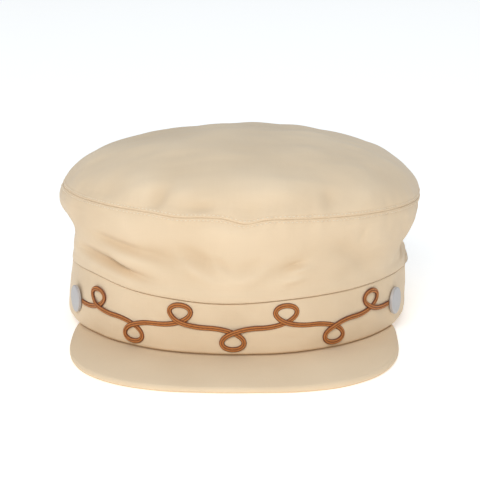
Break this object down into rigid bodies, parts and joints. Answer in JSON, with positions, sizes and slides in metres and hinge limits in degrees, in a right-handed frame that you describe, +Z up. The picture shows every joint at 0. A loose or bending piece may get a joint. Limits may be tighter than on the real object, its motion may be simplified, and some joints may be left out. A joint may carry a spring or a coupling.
{
  "type": "peaked cap",
  "caption": "Soft canvas peaked cap with a domed crown, gathered side panel, plain band, short flat peak, side buttons and corded trim.",
  "frame": {"origin": "centre of the footprint on the surface that the cap stands on", "axes": "+X to the wearer's left, -Y to the front, over the peak, +Z up; the cap stands tipped back a little on its peak's rim and the band's rear edge"},
  "size_m": [0.1852, 0.2384, 0.0962],
  "materials": {
    "crown_canvas": "matte cream cotton canvas, plain weave",
    "band_canvas": "matte cream cotton canvas, plain weave, over a firm inner",
    "peak_canvas": "matte cream cotton canvas drawn smooth over a stiff peak",
    "button_metal": "satin grey metal",
    "trim_cord": "copper brown braided cord"
  },
  "bodies": {
    "root": {"crown_top": "crown_canvas", "crown_side": "crown_canvas", "band": "band_canvas", "peak": "peak_canvas", "button_left": "button_metal", "button_right": "button_metal", "corded_trim": "trim_cord"}
  },
  "joints": []
}
